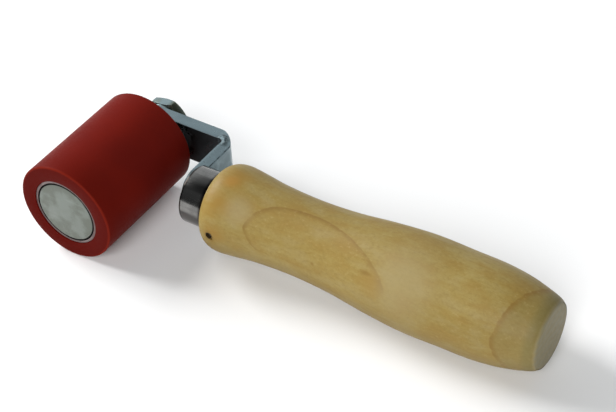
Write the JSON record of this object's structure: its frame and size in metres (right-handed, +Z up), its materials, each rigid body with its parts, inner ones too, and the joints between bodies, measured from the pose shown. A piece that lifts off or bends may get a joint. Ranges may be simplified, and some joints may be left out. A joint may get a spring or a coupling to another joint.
{
  "type": "rubber brayer",
  "caption": "Hand roller with a red silicone sleeve on a ball-bearing core, held on one side by an L-shaped flat-bar arm in a turned wooden handle.",
  "frame": {"origin": "bottom centre of the bounding box, on the floor the tool lies on", "axes": "+X forward along the tool from the handle's butt to the roller, +Y along the roller axle towards the roller's free face, +Z up; the tool lies at rest on roller and handle, so the handle axis is pitched 2.13 degrees up towards the roller"},
  "size_m": [0.1596, 0.053, 0.032],
  "materials": {
    "birch": "turned pale hardwood, thin satin lacquer",
    "ferrule_steel": "bright drawn steel tube",
    "zinc_bar": "zinc-plated mild steel, bluish satin",
    "zinc_fastener": "zinc-plated fastener",
    "bearing_steel": "ground bearing steel",
    "shield_steel": "pressed sheet steel",
    "red_silicone": "brick-red silicone, fine satin",
    "core_aluminium": "turned",
    "cap_metal": "dull grey disc, lightly stained",
    "tang_steel": "plain mild steel"
  },
  "bodies": {
    "tool": {"handle": "birch", "ferrule": "ferrule_steel", "tang": "tang_steel", "locking_pin": "tang_steel", "arm": "zinc_bar", "axle_bolt": "zinc_fastener", "head_spacer": "tang_steel", "bearing_spacer": "tang_steel", "arm_spacer": "zinc_fastener", "arm_washer": "zinc_fastener", "axle_nut": "zinc_fastener", "near_inner_ring": "bearing_steel", "far_inner_ring": "bearing_steel"},
    "roller": {"silicone_sleeve": "red_silicone", "roller_core": "core_aluminium", "end_cap": "cap_metal", "near_outer_ring": "bearing_steel", "near_shield_free_side": "shield_steel", "near_shield_arm_side": "shield_steel", "far_outer_ring": "bearing_steel", "far_shield_free_side": "shield_steel", "far_shield_arm_side": "shield_steel"},
    "near_ball_set": {"near_balls": "bearing_steel", "near_cage": "shield_steel"},
    "far_ball_set": {"far_balls": "bearing_steel", "far_cage": "shield_steel"}
  },
  "joints": [
    {"name": "roller_spin", "type": "hinge", "parent": "tool", "child": "roller", "pos_m": [0.06382, 0.0025, 0.01602], "axis": [0, 1, 0], "continuous": true},
    {"name": "near_cage_spin", "type": "hinge", "parent": "tool", "child": "near_ball_set", "pos_m": [0.06382, 0.0025, 0.01602], "axis": [0, 1, 0], "continuous": true},
    {"name": "far_cage_spin", "type": "hinge", "parent": "tool", "child": "far_ball_set", "pos_m": [0.06382, 0.0025, 0.01602], "axis": [0, 1, 0], "continuous": true}
  ],
  "couplings": [
    {"joint": "near_cage_spin", "follows": "roller_spin", "ratio": 0.61759},
    {"joint": "far_cage_spin", "follows": "roller_spin", "ratio": 0.61759}
  ]
}
